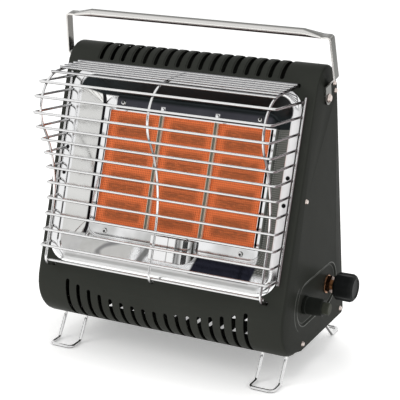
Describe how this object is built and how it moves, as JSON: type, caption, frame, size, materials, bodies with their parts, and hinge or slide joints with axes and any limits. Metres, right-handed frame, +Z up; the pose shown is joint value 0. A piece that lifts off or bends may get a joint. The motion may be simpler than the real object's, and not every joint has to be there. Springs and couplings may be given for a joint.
{
  "type": "portable gas radiant heater",
  "caption": "Free-standing portable gas heater: leaning steel case, bright reflector with ceramic burner plaques, bulging wire guard, folding handle, wire feet, gas tap and piezo button.",
  "frame": {"origin": "on the ground that the four wire feet stand on, under the middle of the case's base", "axes": "+X to the right seen from the front, where the tap is; +Y to the back; +Z up"},
  "size_m": [0.367, 0.2345, 0.3996],
  "materials": {
    "case_paint": "semi-matt dark olive-black stove enamel",
    "mirror_steel": "bright polished stainless sheet",
    "zinc_steel": "dull zinc-plated steel",
    "nickel_screws": "nickel-plated steel",
    "burner_ceramic": "orange perforated ceramic",
    "gasket_fibre": "white ceramic fibre",
    "tap_brass": "turned brass",
    "knob_black": "black heat-proof plastic",
    "piezo_black": "black moulded plastic",
    "white_ceramic": "glazed white ceramic with a steel tip",
    "lead_sleeve": "black silicone sleeve",
    "copper_rod": "copper",
    "guard_wire": "bright chrome-plated steel wire",
    "handle_steel": "bright plated steel strap",
    "foot_wire": "bright chrome-plated steel wire"
  },
  "bodies": {
    "case": {"front_casing": "case_paint", "rear_cover": "case_paint", "base_plate": "case_paint", "reflector": "mirror_steel", "burner_frame": "mirror_steel", "frame_screws": "zinc_steel", "plaques": "burner_ceramic", "plaque_gasket": "gasket_fibre", "burner_box": "zinc_steel", "mixer_tube": "zinc_steel", "gas_jet": "tap_brass", "gas_pipe": "tap_brass", "tap_body": "tap_brass", "tap_cap": "tap_brass", "tap_washer": "tap_brass", "tap_nut": "tap_brass", "inlet_pipe": "tap_brass", "hose_tail": "tap_brass", "igniter_body": "piezo_black", "electrode": "white_ceramic", "electrode_lead": "lead_sleeve", "thermocouple": "copper_rod", "thermocouple_lead": "copper_rod", "pilot_shield": "mirror_steel", "heat_shield": "zinc_steel", "burner_brackets": "zinc_steel", "wire_guard": "guard_wire", "handle_rivets": "nickel_screws", "handle_brackets": "zinc_steel", "side_screws": "nickel_screws", "rear_screws": "nickel_screws", "foot_front_left": "foot_wire", "foot_front_right": "foot_wire", "foot_rear_left": "foot_wire", "foot_rear_right": "foot_wire", "foot_plates": "zinc_steel"},
    "handle": {"handle": "handle_steel"},
    "tap_rotor": {"tap_rotor": "tap_brass"},
    "knob": {"tap_stem": "zinc_steel", "control_knob": "knob_black"},
    "igniter_button": {"igniter_button": "piezo_black"}
  },
  "joints": [
    {"name": "handle_hinge", "type": "hinge", "parent": "case", "child": "handle", "pos_m": [0, 0.02397, 0.321], "axis": [1, 0, 0], "range_deg": [-147, 55]},
    {"name": "tap_turn", "type": "hinge", "parent": "case", "child": "tap_rotor", "pos_m": [0.134, 0.052, 0.089], "axis": [1, 0, 0], "range_deg": [0, 210]},
    {"name": "knob_push", "type": "slide", "parent": "tap_rotor", "child": "knob", "axis": [1, 0, 0], "range_m": [-0.0035, 0], "stiffness_N_per_m": 600, "springref_m": 0.003},
    {"name": "igniter_press", "type": "slide", "parent": "case", "child": "igniter_button", "axis": [1, 0, 0], "range_m": [-0.006, 0], "stiffness_N_per_m": 800, "springref_m": 0.003}
  ]
}
